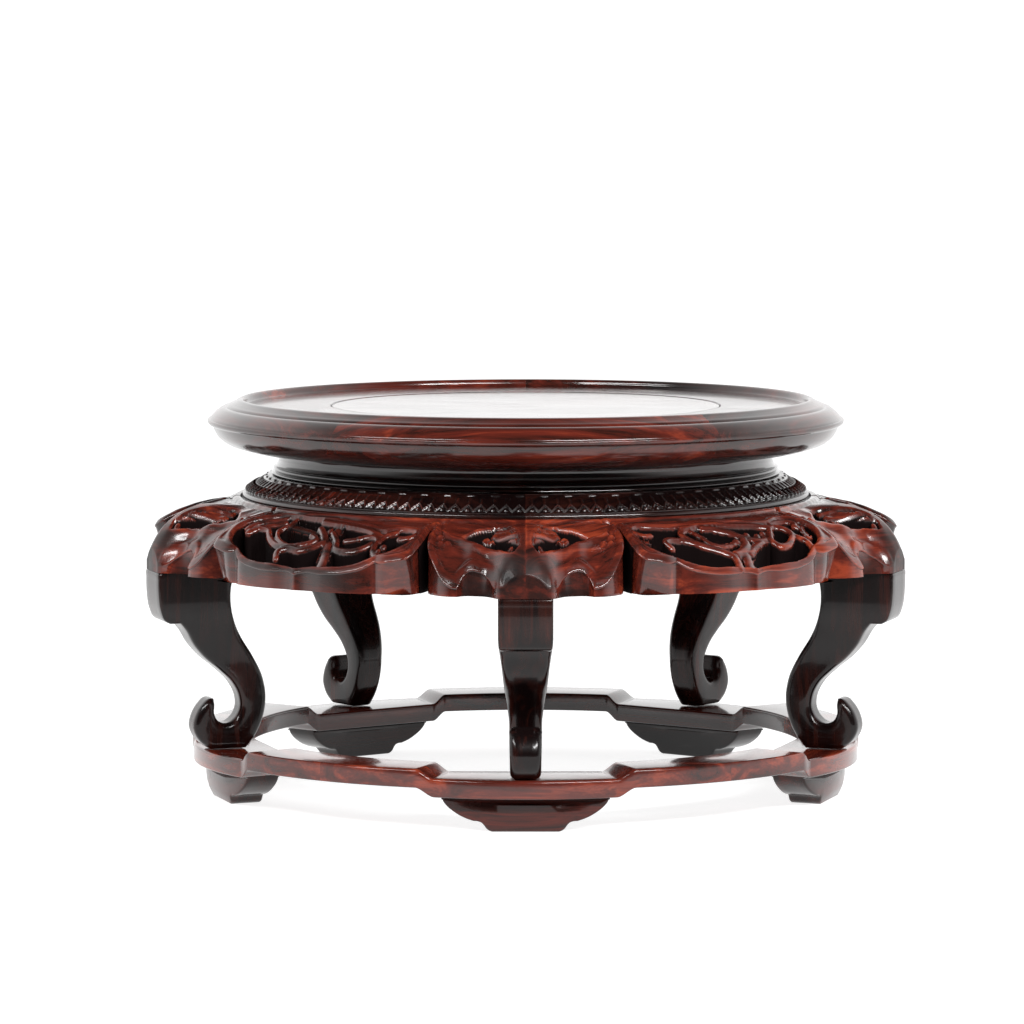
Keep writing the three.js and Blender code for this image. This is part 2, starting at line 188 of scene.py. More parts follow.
def edge_drop(distance, radius):
    """How far a rounded edge lies below its face, at a distance from the edge."""
    short = np.clip(radius - distance, 0, radius)
    return radius - np.sqrt(np.maximum(radius**2 - short**2, 0))


def eased_drop(distance, size):
    """A rounded edge that ends at 45 degrees, for a wall that goes on from there."""
    return size * np.clip(1 - distance / (2 * size), 0, 1) ** 2


# Meshes

def add_piece(name, node, slot, points, faces, azimuth, material, sharp=38, painted_shade=None):
    """A piece at its azimuth that stands for a CAD node and moves with the stand.

    The last argument is each point's share of painted shade, from 0 to 1, highest deep in the carving.
    """
    p = np.asarray(points, float) * MM
    a = math.radians(azimuth)
    x = p[:, 0] * math.cos(a) - p[:, 1] * math.sin(a)
    y = p[:, 0] * math.sin(a) + p[:, 1] * math.cos(a)
    mesh = bpy.data.meshes.new(name)
    mesh.from_pydata(np.column_stack([x, y, p[:, 2]]).tolist(), [], faces)
    if painted_shade is not None:
        # Painted shade for each point, read by the carved wood's material
        attribute = mesh.attributes.new("painted_shade", "FLOAT", "POINT")
        attribute.data.foreach_set("value", np.asarray(painted_shade, float))
    work = bmesh.new()
    work.from_mesh(mesh)
    bmesh.ops.remove_doubles(work, verts=work.verts, dist=1e-6)
    bmesh.ops.recalc_face_normals(work, faces=work.faces)
    work.to_mesh(mesh)
    work.free()
    mesh.shade_smooth()
    mesh.set_sharp_from_angle(angle=math.radians(sharp))
    mesh.materials.append(material)
    piece = bpy.data.objects.new(name, mesh)
    bpy.context.scene.collection.objects.link(piece)
    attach(piece, "root")
    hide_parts(node)


def ring_faces(rings, count):
    """Quads between closed rings of count points, which follow each other in the list of points."""
    faces = []
    for i in range(rings - 1):
        for j in range(count):
            here = i * count + j
            after = i * count + (j + 1) % count
            faces.append((here, after, after + count, here + count))
    return faces


def sweep(section_at, angles, ends=True):
    """Points and faces of a solid through closed (radius, height) sections at the angles."""
    rings = []
    for angle in angles:
        section = np.asarray(section_at(angle), float)
        a = math.radians(angle)
        x = section[:, 0] * math.cos(a)
        y = section[:, 0] * math.sin(a)
        rings.append(np.column_stack([x, y, section[:, 1]]))
    count = len(rings[0])
    faces = ring_faces(len(rings), count)
    if ends:
        last = (len(rings) - 1) * count
        faces.append(tuple(range(count))[::-1])
        faces.append(tuple(range(last, last + count)))
    return np.concatenate(rings), faces


def inset(outline, distance):
    """A closed counter-clockwise outline moved inward by a distance."""
    along = np.roll(outline, -1, axis=0) - np.roll(outline, 1, axis=0)
    along /= np.linalg.norm(along, axis=1)[:, None]
    return outline + distance * np.column_stack([-along[:, 1], along[:, 0]])


def slab(outline, half_width_at, bevel, steps=4, spacing=3.0, across=(-0.6, -0.3, 0, 0.3, 0.6)):
    """An outline of (u, z) points thickened to both sides, with rounded edges: (u, t, z) points."""
    count = len(outline)
    bevel = np.broadcast_to(bevel, (count, 1))
    following = np.roll(outline, -1, axis=0)
    if np.sum(outline[:, 0] * following[:, 1] - following[:, 0] * outline[:, 1]) < 0:
        outline, bevel = outline[::-1], bevel[::-1]
    turns = np.linspace(0, math.pi / 2, steps + 1)
    levels = [(-1, turn) for turn in turns[::-1]]
    levels += [(share, 0.0) for share in across]
    levels += [(1, turn) for turn in turns]
    rings = []
    for share, turn in levels:
        ring = inset(outline, bevel * (1 - math.cos(turn)))
        t = share * (half_width_at(ring[:, 1]) - bevel[:, 0] * (1 - math.sin(turn)))
        rings.append(np.column_stack([ring[:, 0], t, ring[:, 1]]))
    faces = ring_faces(len(rings), count)
    points = [np.concatenate(rings)]
    rim = inset(outline, bevel)
    low, high = rim.min(axis=0), rim.max(axis=0)
    ticks = [np.arange(a, b, spacing) for a, b in zip(low, high)]
    grid = np.stack(np.meshgrid(*ticks), -1).reshape(-1, 2)
    grid = grid[depth_inside(grid[:, 0], grid[:, 1], rim) > spacing * 0.4]
    flat = [Vector(p) for p in np.concatenate([rim, grid])]
    loop = [(i, (i + 1) % count) for i in range(count)]
    cap = delaunay_2d_cdt(flat, loop, [], 1, 1e-5)
    cap_points = np.array([tuple(p) for p in cap[0]])
    for side in (-1, 1):
        start = sum(len(p) for p in points)
        t = side * half_width_at(cap_points[:, 1])
        points.append(np.column_stack([cap_points[:, 0], t, cap_points[:, 1]]))
        faces.extend(tuple(start + i for i in face) for face in cap[2])
    return np.concatenate(points), faces


# Wood

DARK = (0.0060, 0.0026, 0.0026)
BROWN = (0.036, 0.0088, 0.0060)
RED = (0.135, 0.0195, 0.0115)
BRIGHT = (0.380, 0.058, 0.024)
GRAIN_ACROSS = 150.0
GRAIN_STRETCH = 0.07
FIBRE_ACROSS = 1500.0
FIBRE_STRETCH = 0.035
NOISE_SPAN = (0.3, 0.7)
RANGE_INPUTS = ("From Min", "From Max", "To Min", "To Max")


def rosewood(name, azimuth, grain, tone, seed, gloss=0.17, carved=False, sheen=1.0):
    """Polished rosewood: dark streaks and fine fibres along the grain axis of the piece's own frame.

    tone makes it lighter, gloss is its roughness, and sheen weakens the reflections of plain pieces.
    Carved wood is darker and duller where its points carry painted shade, most where it lies deep, and
    its ridges get a painted highlight and its creases painted shade.
    """
    material = bpy.data.materials.new(name)
    material.use_nodes = True
    nodes = material.node_tree.nodes
    links = material.node_tree.links
    shader = nodes["Principled BSDF"]
    place = nodes.new("ShaderNodeTexCoord")
    turn = nodes.new("ShaderNodeMapping")
    turn.inputs["Rotation"].default_value = (0, 0, -math.radians(azimuth))
    links.new(place.outputs["Object"], turn.inputs["Vector"])

    def stretched(across, stretch, tilt):
        mapping = nodes.new("ShaderNodeMapping")
        scale = [across] * 3
        scale["xyz".index(grain)] = across * stretch
        mapping.inputs["Scale"].default_value = scale
        mapping.inputs["Rotation"].default_value = (tilt, tilt * 0.7, tilt * 1.3)
        mapping.inputs["Location"].default_value = (seed * 3.7, seed * 5.1, seed * 2.3)
        links.new(turn.outputs["Vector"], mapping.inputs["Vector"])
        return mapping.outputs["Vector"]

    def noise(vector, detail, roughness, distortion):
        node = nodes.new("ShaderNodeTexNoise")
        node.inputs["Scale"].default_value = 1.0
        node.inputs["Detail"].default_value = detail
        node.inputs["Roughness"].default_value = roughness
        node.inputs["Distortion"].default_value = distortion
        links.new(vector, node.inputs["Vector"])
        return node.outputs["Fac"]

    def combine(operation, a, b):
        node = nodes.new("ShaderNodeMath")
        node.operation = operation
        for socket, value in zip(node.inputs, (a, b)):
            if isinstance(value, (int, float)):
                socket.default_value = value
            else:
                links.new(value, socket)
        return node.outputs[0]

    def ranged(value, low, high, to_low, to_high):
        node = nodes.new("ShaderNodeMapRange")
        for key, number in zip(RANGE_INPUTS, (low, high, to_low, to_high)):
            node.inputs[key].default_value = number
        links.new(value, node.inputs["Value"])
        return node.outputs["Result"]

    figure = noise(stretched(GRAIN_ACROSS, GRAIN_STRETCH, 0.06), 4, 0.55, 1.2)
    cloud = noise(stretched(28.0, 0.45, 0.2), 2, 0.5, 0.3)
    fibre = noise(stretched(FIBRE_ACROSS, FIBRE_STRETCH, 0.03), 3, 0.6, 0.2)
    streaks = ranged(figure, *NOISE_SPAN, -0.30, 0.30)
    shade = combine("ADD", streaks, ranged(cloud, *NOISE_SPAN, -0.16, 0.16))
    shade = combine("ADD", shade, ranged(fibre, *NOISE_SPAN, -0.07, 0.07))
    shade = combine("ADD", shade, tone)
    if carved:
        geometry = nodes.new("ShaderNodeNewGeometry")
        # Painted highlight on ridges and painted shade in creases, by how sharply the mesh bends
        shade = combine("ADD", shade, ranged(geometry.outputs["Pointiness"], 0.44, 0.56, -0.22, 0.24))
        # Painted shade from the mesh's shade attribute: darker colour, and duller wood where it is high
        shade_input = nodes.new("ShaderNodeAttribute")
        shade_input.attribute_name = "painted_shade"
        painted_shade = ranged(shade_input.outputs["Fac"], 0.04, 0.30, 0.0, 1.0)
        shade = combine("SUBTRACT", shade, painted_shade)
    ramp = nodes.new("ShaderNodeValToRGB")
    ramp.color_ramp.elements[0].color = (*DARK, 1)
    ramp.color_ramp.elements[1].color = (*BRIGHT, 1)
    for position, colour in ((0.34, BROWN), (0.68, RED)):
        ramp.color_ramp.elements.new(position).color = (*colour, 1)
    links.new(shade, ramp.inputs["Fac"])
    links.new(ramp.outputs["Color"], shader.inputs["Base Color"])
    smear = noise(stretched(60.0, 0.5, 0.4), 3, 0.6, 0.5)
    rough = ranged(smear, *NOISE_SPAN, gloss * 0.8, gloss * 1.35)
    if carved:
        rough = combine("ADD", rough, combine("MULTIPLY", painted_shade, 0.6))
        links.new(ranged(painted_shade, 0.0, 0.5, 0.5, 0.08), shader.inputs["Specular IOR Level"])
        links.new(ranged(painted_shade, 0.0, 0.4, 0.45, 0.0), shader.inputs["Coat Weight"])
    links.new(rough, shader.inputs["Roughness"])
    bump = nodes.new("ShaderNodeBump")
    bump.inputs["Strength"].default_value = 0.25
    bump.inputs["Distance"].default_value = 0.00006
    links.new(fibre, bump.inputs["Height"])
    links.new(bump.outputs["Normal"], shader.inputs["Normal"])
    shader.inputs["IOR"].default_value = 1.5
    shader.inputs["Specular IOR Level"].default_value = 0.5 * sheen
    shader.inputs["Coat Weight"].default_value = 0.45 * sheen
    shader.inputs["Coat Roughness"].default_value = 0.06
    shader.inputs["Coat IOR"].default_value = 1.5
    return material


# Top: five frame segments round a floating panel

FRAME_SECTION = path(
    [(73.35, 129.4), (106, 129.4)],
    [(109.4, 130.3), (112.4, 131.3), (114.4, 132.5), (116.2, 134.2), (117.3, 136.1), (118.2, 138.3)],
    [(118.5, 138.6), (119.1, 138.5), (119.8, 139.1), (120, 139.8), (119.6, 140.5), (119, 140.6)],
    [(118.9, 140.95)],
    [(118.3, 141.6), (117.2, 142.8), (115.9, 143.9), (114.4, 144.8), (113.2, 145.05)],
    [(112.8, 145.0)],
    [(112.4, 145.5), (111, 146.2), (109.3, 147.1), (108, 147.8), (107.1, 147.9), (106.5, 147.5),
     (106.1, 146.8)],
    [(105.6, 145.6), (105.2, 145.3)],
    [(104.8, 145.3)],
    [(74.1, 145.3)],
    [(73.7, 145.2), (73.4, 144.7)],
    [(73.35, 129.4)],
    step=0.5,
)[:-1]

PANEL_SECTION = path(
    [(0.01, 136.4), (73.2, 136.4)],
    [(73.2, 144.5)],
    [(73.0, 144.95), (72.6, 145.1)],
    [(71.9, 145.1)],
    [(0.01, 145.1)],
    step=2.5,
)


def add_top():
    angles = np.arange(-HALF_SECTOR + SEAM_ANGLE, HALF_SECTOR, 0.9)
    angles = np.append(angles, HALF_SECTOR - SEAM_ANGLE)
    points, faces = sweep(lambda angle: FRAME_SECTION, angles)
    tones = (0.50, 0.30, 0.42, 0.46, 0.34)
    for i in range(SIDES):
        azimuth = FRONT + i * SECTOR
        wood = rosewood(f"frame_wood_{i + 1}", azimuth, "y", tones[i], 11 + i)
        add_piece(f"frame_arc_{i + 1}", f"top_frame_{i + 1}", "top_frame", points, faces, azimuth, wood)
    points, faces = sweep(lambda angle: PANEL_SECTION, np.linspace(-180, 180, 181), ends=False)
    wood = rosewood("panel_wood", 0, "x", 0.40, 3, gloss=0.12)
    add_piece("panel_board", "top_panel", "top_panel", points, faces, 0, wood)


# Waist and collar

WAIST_SECTION = path(
    [(85.6, 120), (95.6, 120)],
    [(95.9, 120.3), (95.7, 120.8), (95.0, 121.1)],
    [(94.6, 121.3)],
    [(95.1, 121.7), (95.2, 122.3), (94.8, 122.8), (94.4, 122.9)],
    [(94.1, 123.1)],
    [(93.5, 124.3), (93.2, 126), (93.4, 127.6), (94.1, 128.8), (94.8, 129.1)],
    [(85.6, 129.1)],
    [(85.6, 120)],
    step=0.35,
)[:-1]

PETALS_PER_SECTOR = 28
PETAL_RELIEF = 0.95
CONE_TOP = (97.2, 119.6)
CONE_BOTTOM = (106.3, 113.4)


def petal_relief(share, turn):
    """Height of the collar's carving: share runs down the cone, turn across one small petal."""
    u = np.abs((turn + 0.5) % 1 - 0.5)
    pair = np.abs((turn / 2 + 0.5) % 1 - 0.5)
    chevron = np.exp(-(((share - 0.58 - 0.64 * u) / 0.05) ** 2)) * smoothstep((0.97 - share) / 0.06)
    seed = 0.8 * np.exp(-((u / 0.17) ** 2) - ((share - 0.84) / 0.06) ** 2)
    rib = 0.4 * np.exp(-((u / 0.12) ** 2))
    rib = rib * smoothstep((share - 0.18) / 0.06) * smoothstep((0.58 - share) / 0.1)
    dash = 0.6 * np.exp(-(((share - 0.09) / 0.04) ** 2)) * smoothstep((0.28 - pair) / 0.16)
    return PETAL_RELIEF * (np.maximum.reduce([chevron, seed, rib, dash]) - 0.25)


def collar_section(angle):
    cone_rows = np.linspace(0, 1, 38)
    along = np.array(CONE_BOTTOM) - np.array(CONE_TOP)
    normal = np.array([-along[1], along[0]]) / np.hypot(*along)
    lift = petal_relief(cone_rows, angle / SECTOR * PETALS_PER_SECTOR + 0.5)
    lift = lift * smoothstep(cone_rows / 0.04) * smoothstep((1 - cone_rows) / 0.04)
    cone = np.array(CONE_TOP) + cone_rows[:, None] * along + lift[:, None] * normal
    bead = path(
        [(106.3, 113.3), (106.2, 113.0)],
        [(106.6, 112.8), (106.85, 112.2), (106.8, 111.4), (106.4, 110.9)],
        [(106.0, 110.6), (105.7, 109.6)],
        [(85.9, 109.5)],
        step=0.4,
    )
    inner = path([(85.9, 119.6), (96.9, 119.65)], step=2.0)
    return np.concatenate([inner, cone, bead])


def add_neck():
    end = HALF_SECTOR - SEAM_ANGLE
    waist = sweep(lambda angle: WAIST_SECTION, np.linspace(-end, end, 81))
    collar = sweep(collar_section, np.linspace(-end, end, 449))
    tones = (0.02, 0.04, 0.02, 0.03, 0.05)
    for i in range(SIDES):
        azimuth = FRONT + (i + 0.5) * SECTOR
        wood = rosewood(f"waist_wood_{i + 1}", azimuth, "y", tones[i] + 0.02, 21 + i, gloss=0.11)
        add_piece(f"waist_arc_{i + 1}", f"waist_{i + 1}", "waist", *waist, azimuth, wood)
        wood = rosewood(f"collar_wood_{i + 1}", azimuth, "y", tones[i], 31 + i, gloss=0.2, carved=True)
        add_piece(f"collar_petals_{i + 1}", f"collar_{i + 1}", "collar", *collar, azimuth, wood)


# Aprons: a carved dome with a lobed edge, pierced by scrollwork

# Half of the lobed edge in plan, from the middle of an apron to a leg, as runs that meet in cusps
EDGE_RUNS = (
    [(0, 141.6), (1.2, 140.9), (5, 141.7), (9, 141.3), (12, 140.1), (13.3, 138.7)],
    [(14.3, 140.0), (16.6, 140.4), (18.1, 139.9), (18.9, 138), (19.3, 134), (19.3, 118)],
    [(19.5, 115.6), (19.8, 118)],
    [(20.1, 126), (20.9, 132.4), (22.2, 136.2), (23.6, 138.9), (24.9, 140.1), (26.1, 140.2)],
    [(26.5, 138), (27.2, 136.8), (28.6, 136.9), (29.7, 137.6), (30.5, 139.2), (31.2, 141.8),
     (31.9, 144.6)],
    [(32.3, 145.4), (34, 145.5), (36, 145.5)],
)

# Reach and height of the dome's edge: angle from the middle, radius, height
DOME_EDGE = smooth_curve([
    (0, 141.6, 93.8), (5, 141.8, 94.5), (9, 141.4, 95.4), (11.5, 140.4, 97.1), (13.6, 140, 98.9),
    (16.4, 140.2, 100.2), (19.1, 139.8, 100.9), (21.6, 139, 97), (24.8, 139.9, 91.8), (26.2, 140.2, 91.2),
    (27.8, 141, 91.8), (28.8, 142, 90.6), (30.3, 143.5, 88.4), (31.2, 144.6, 88.4), (32.1, 145.3, 90.4),
    (33.2, 145.5, 93.8), (34.6, 145.5, 96.6), (36, 145.5, 97.6),
], 0.4)


def dome(angle, r):
    """Height of the uncarved apron, with the low ridge over each leg."""
    a = np.abs(angle)
    edge_r = np.interp(a, DOME_EDGE[:, 0], DOME_EDGE[:, 1])
    edge_z = np.interp(a, DOME_EDGE[:, 0], DOME_EDGE[:, 2])
    s = np.clip((r - RIM_R) / (edge_r - RIM_R), 0, 1.06)
    skewed = s**DOME_SKEW
    across = r * np.sin(np.radians(HALF_SECTOR - a))
    ridge = RIDGE_HEIGHT * np.exp(-((across / RIDGE_WIDTH) ** 2))
    z = RIM_Z + s * (edge_z - RIM_Z) + 4 * skewed * (1 - skewed) * (DOME_BULGE + ridge)
    return np.where(r < RIM_INNER_R, LEDGE_Z, z)


# Strokes of the scrollwork: half-width at the start and end, drop below the dome, and the points
# of the middle line as (angle, radius). One point makes a bead.
RIGHT_WINDOW = (
    [(-17.9, 119), (-17.9, 124), (-17.7, 130.5), (-16, 135.7), (-13, 137.4)],
    [(-10, 138.8), (-8.1, 139.5), (-3.9, 139.4), (0.4, 139.9)],
    [(4.7, 139.7), (7.9, 139.8), (10.6, 139.1), (13.2, 136.7)],
    [(15.2, 135.7), (17, 132), (17.8, 127.5), (17.6, 122.5), (16.6, 119), (14.9, 117.8)],
    [(12, 118.8), (10, 118.2), (4.1, 115), (-1.4, 113.4), (-7.1, 115.6), (-13, 115.6), (-16, 116),
     (-17.9, 119)],
)
RIGHT_STROKES = (
    (1.5, 1.1, 0.8, [(-17.9, 117.5), (-17.0, 121), (-16, 122.8), (-14.6, 122.2)]),
    (1.0, 1.3, 1.6, [(-17.6, 123.5), (-17.4, 126.4), (-16.5, 128.2)]),
    (1.6, 1.6, 1.4, [(-16.3, 128.5)]),
    (1.5, 1.5, 0.2, [(-12.5, 130.3)]),
    (1.0, 1.5, 0.0, [(-12.7, 130.3), (-13.1, 128.4), (-12.5, 126.2), (-10.5, 124.8), (-8, 125.4),
                     (-6.4, 127.8), (-4.7, 129.9), (-3.2, 131.6), (-2.1, 134), (-2.2, 137), (-2.8, 140)]),
    (1.3, 1.1, 0.7, [(-1.4, 113.6), (-6.2, 116), (-7.9, 118.3), (-7.9, 121.1), (-6.8, 124.6),
                     (-5.4, 127.2)]),
    (1.2, 1.0, 1.0, [(-5.4, 117), (-4.5, 121.6), (-4, 125), (-2.7, 127), (0, 126.5), (1.3, 125.2)]),
    (1.5, 1.5, 0.7, [(1.4, 125.2)]),
    (1.6, 1.9, 0.3, [(-2.6, 115.6), (0.2, 117), (2, 119.6), (3, 123.5), (2.7, 126.9), (1.1, 130.4),
                     (-1.1, 132.4)]),
    (1.9, 2.2, 0.9, [(1.2, 130.5), (0.3, 134.5), (-0.6, 140)]),
    (1.5, 1.7, 0.8, [(3.4, 122.4), (5, 124.8), (6.7, 126.4), (8.3, 125.4), (9.8, 123.4)]),
    (1.3, 1.3, 0.3, [(4.6, 122.6)]),
    (1.2, 1.2, 0.3, [(6.4, 124)]),
    (1.2, 1.2, 0.5, [(8.3, 122.8)]),
    (1.4, 1.8, 0.9, [(6.7, 126.4), (5.2, 128), (3.4, 129.8), (1.6, 132.4)]),
    (1.2, 1.2, 0.2, [(11.3, 120.6), (9.4, 124.6), (8.1, 128.8), (8.5, 131.3), (10, 131.7), (11.7, 130.2),
                     (13.1, 127.6), (13.2, 124.4), (12.5, 121.2), (11.3, 120.6)]),
    (1.1, 1.2, 0.6, [(13.2, 125.5), (13.3, 129.5), (13.9, 132.6), (13.5, 136.5)]),
    (1.2, 1.2, 0.1, [(-7.1, 115.9), (-1.4, 113.6), (4.1, 115.6), (9.6, 118.6), (11.4, 121)]),
    (1.1, 1.4, 0.4, [(12.4, 118.6), (14.7, 118.6), (16.4, 120), (16.9, 122.4), (16.0, 124.4)]),
    (1.3, 1.3, 0.4, [(15.9, 124.3)]),
    (1.0, 1.3, 1.3, [(17.6, 125), (16.2, 127.2), (15.4, 130), (15.3, 132)]),
)
LEFT_WINDOW = (
    [(-17.7, 119.5), (-18, 124.5), (-17.8, 130), (-15.7, 135.7), (-12.9, 137.6)],
    [(-9.9, 139.5), (-7.6, 139.7), (-4.6, 139.5), (-0.4, 140)],
    [(3, 139.4), (6.2, 139.5), (8.8, 139.1), (11.9, 137.3), (13.1, 136.4)],
    [(15.4, 135.4), (17.3, 131.4), (17.9, 127), (17.5, 122.8), (16, 120.4), (13.8, 119), (11.4, 119.6)],
    [(9.3, 118.7), (6.8, 116.4), (3.2, 114.8), (-4.1, 113), (-11.2, 113), (-15, 114.4), (-17.7, 119.5)],
)
LEFT_STROKES = (
    (1.0, 1.4, 0.6, [(-13.8, 113.8), (-15.6, 118), (-16.8, 122), (-17.0, 126)]),
    (1.5, 1.5, 0.6, [(-16.8, 126.8)]),
    (1.0, 1.4, 0.5, [(-12.2, 117), (-13.9, 121.6), (-15, 125.4), (-15.4, 127.8)]),
    (1.7, 1.7, 0.4, [(-15.5, 128.3)]),
    (1.2, 1.2, 0.3, [(-14.8, 125), (-12.6, 124.5), (-11.2, 126.8), (-9.2, 129.2), (-7.0, 130.8),
                     (-5.6, 131.2)]),
    (0.9, 1.1, 0.1, [(-10.8, 114), (-10.4, 119), (-10.6, 123.4), (-9.6, 126), (-7.8, 128.5),
                     (-5.7, 130.1), (-4, 129.6), (-2.2, 127.6), (-1.2, 125), (-3.0, 122.8)]),
    (3.2, 2.6, 1.6, [(-9.6, 117.2), (-6.4, 118.2), (-3.6, 119.4)]),
    (1.2, 1.4, 0.0, [(-5.0, 137), (-6.0, 133.4), (-5.0, 131.6), (-2, 131.3), (-0.4, 128.6), (0.7, 126)]),
    (2.2, 2.6, 1.0, [(1.6, 125), (2.9, 131), (4.2, 140)]),
    (1.3, 1.5, 0.2, [(-3.1, 117.4), (-1.4, 120.2), (-0.1, 123), (0.8, 126.3)]),
    (1.0, 1.2, 0.0, [(0.7, 120.2), (2.5, 123.8), (3.6, 126.6), (4.3, 129.8), (6.1, 131.2), (8.2, 131.1),
                     (9.6, 129.0), (10.2, 127.4)]),
    (1.3, 1.3, 0.2, [(-0.4, 118.6)]),
    (2.4, 1.6, 1.4, [(0.2, 115.8), (1.2, 119), (1.8, 123)]),
    (1.2, 1.2, 0.1, [(-4.1, 113.2), (3.2, 115), (6.8, 116.9), (9.4, 119.6), (11, 122.4)]),
    (1.0, 1.3, 0.4, [(4.6, 124.4), (6.2, 123.6), (7.5, 121.8), (9.2, 121.6), (10.9, 124), (11, 127.5),
                     (11.4, 131), (12.8, 135.6)]),
    (1.3, 1.3, 0.2, [(7.0, 122.8)]),
    (1.4, 1.5, 0.5, [(11.2, 125.3), (11.5, 121.4), (13, 119.4)]),
    (1.4, 1.4, 0.1, [(13.2, 131.4)]),
    (1.2, 1.2, 0.1, [(12.8, 133.7)]),
    (1.0, 1.5, 0.5, [(17.6, 122.6), (16.9, 125.6), (15.3, 125.9)]),
    (1.4, 1.4, 0.4, [(15.1, 125.6)]),
)

# Half of a shoulder, as angle from the middle of the apron and radius; the leg is at 36
ALMOND = (
    [(25.3, 122.7), (26.7, 119.4), (29.0, 116.7), (31.0, 114.9), (32.4, 116.5), (33.4, 121.5),
     (34.5, 129.4), (35.0, 134.5), (35.0, 137.6)],
    [(34.2, 139.4), (33.1, 137.2), (31.8, 133.4), (30.2, 130.4), (28.4, 128.2), (26.6, 125.6),
     (25.3, 122.7)],
)
LEAF = (
    [(35.2, 130.6), (34.3, 125), (33.3, 120), (31.6, 115.4)],
    [(30.6, 117.2), (30.1, 120.7), (30.1, 123.6), (30.7, 125.4), (31.8, 127.6), (33.3, 132.4),
     (34.8, 136.4)],
    [(35.2, 130.6)],
)
LEAF_GROOVES = (
    [(34.5, 132.9), (32.9, 129.3), (31.4, 125.5), (30.5, 122.9)],
    [(34.1, 128.8), (32.3, 121.1), (30.5, 119.0)],
    [(33.9, 135.2), (32.6, 130.4), (31.5, 126.9)],
)
# Half-width at the start and end, drop below the dome, points
ALMOND_STROKES = (
    (0.8, 1.1, 0.4, [(30.6, 125.5), (29.8, 126.4), (29.3, 125.2), (29.7, 123.8)]),
    (1.5, 1.5, 0.3, [(33.7, 137.4)]),
)
SHOULDER_BEAD = [(22.5, 122.3), (23.3, 123.4), (24.3, 124.2), (25.2, 124.9), (26.3, 126.9), (27.9, 129.6),
                 (29.1, 131.0), (30.3, 132.2), (31.5, 134.6), (32.8, 138.2), (34.0, 140.6)]
RIPPLES = ([(23.4, 126.5)], [(22.4, 127.8)], [(21.9, 124.6)], [(21.2, 121.6)])
NOTCH_LINE = [(19.5, 117), (20.2, 112.6), (21.6, 109)]

# Measures of the carved face
NOTCH_DEPTH = 1.6
RECESS_DEPTH = 6.5
SHOULDER_BEAD_HEIGHT = 1.5
LEAF_GROOVE_DEPTH = 1.5
RIPPLE_HEIGHT = 0.8
TOOL_MARKS = 0.06
EDGE_ROUNDING = 0.8
PLATE_ROUNDING = 1.6
PLATE_HALF_WIDTH = 9.5
STROKE_OVERLAP = 1.5

# Bead and groove along the edges: distance of their middle from the edge, half-width, height
EDGE_BEAD = (1.4, 1.4, 0.3)
EDGE_GROOVE = (3.1, 0.8, 0.2)

# Bead and groove round the collar: radius of their middle, half-width, height
RIM_BEAD = (108.9, 1.6, 0.6)
RIM_GROOVE = (111.1, 0.6, 0.5)

# Drop below the edge and bulge of the wall, from the edge down
WALL_BEAD = ((0.25, 0.15), (0.6, 0.2), (0.9, 0.05), (1.15, -0.3))

# The side of each lobe leans in by this much at its foot, between these angles
LOBE_FLARE = 4.0
LOBE_SIDE_ANGLES = (12, 19.4)

# The plate over a leg, the coves beside it and the gap between two lobes get painted shade
PLATE_SHADE = 0.13
COVE_SHADE = 0.16
COVE_ANGLES = (26, 31.8)
GAP_ANGLE = 19.5

# Share of that painted shade at each level of a wall, from the edge down; the walls of the windows get
# these shares in full
WALL_SHADES = (0.05, 0.12, 0.2, 0.32, 1.0)

# The grid that the aprons are cut from
GRID_SPACING = 0.5
GRID_MIDDLE_R = 138
GRID_OUTER_R = 146.2
SNAP_SHARE = 0.3

# Height of the face where there is no wood, and the least thickness of an apron
OUTSIDE = -1e3
THINNEST = 0.2

# Walls this near to the lobed edge are outer walls
OUTER_WALL_REACH = 0.8

# Gaps between the apron's underside and the top of a leg
ROOF_GAP = 0.12
SIDE_GAP = 0.15
SHOULDER_GAP = 0.3

# Distance out along a leg at which the step in the underside ends
HIDDEN_END_R = 144.4


def full_edge():
    """The lobed edge in plan from one leg to the next."""
    half = shape_of(EDGE_RUNS, step=0.8)
    other = half[::-1] * (1, -1)
    return np.concatenate([other, half[1:]])


EDGE_LINE = full_edge()


def across_leg(angle, r):
    """Distance in plan from the middle plane of the nearer leg."""
    return r * np.sin(np.radians(HALF_SECTOR - np.abs(angle)))


def carve_shoulder(x, y, level, face):
    """The face of an apron with the leaf scroll, bead and ripples of one shoulder cut into it."""
    almond = depth_inside(x, y, shape_of(ALMOND))
    face = face - RECESS_DEPTH * smoothstep((almond + 0.3) / 1.6)
    leaf = depth_inside(x, y, shape_of(LEAF))
    blade = level - 0.4 - edge_drop(leaf, 2.0)
    for points in LEAF_GROOVES:
        d, _ = distance_to(x, y, line_of(points))
        blade = blade - LEAF_GROOVE_DEPTH * bump(d, 0.8)
    face = np.where((leaf > 0) & (almond > -1), np.maximum(face, blade), face)
    for w0, w1, drop, points in ALMOND_STROKES:
        d, share = distance_to(x, y, line_of(points))
        width = w0 + (w1 - w0) * share
        stroke = level - drop - edge_drop(width - d, width)
        face = np.where((d < width) & (almond > -1.5), np.maximum(face, stroke), face)
    d, share = distance_to(x, y, line_of(SHOULDER_BEAD))
    width = 1.1 + 0.4 * np.sin(share * math.pi)
    taper = smoothstep((1 - share) / 0.3)
    face = face + SHOULDER_BEAD_HEIGHT * bump(d, 1.3 * width) ** 1.5 * taper
    for points in RIPPLES:
        d, _ = distance_to(x, y, line_of(points))
        face = face + RIPPLE_HEIGHT * np.sqrt(bump(d, 1.3))
    d, _ = distance_to(x, y, line_of(NOTCH_LINE))
    return face - NOTCH_DEPTH * bump(d, 1.0)


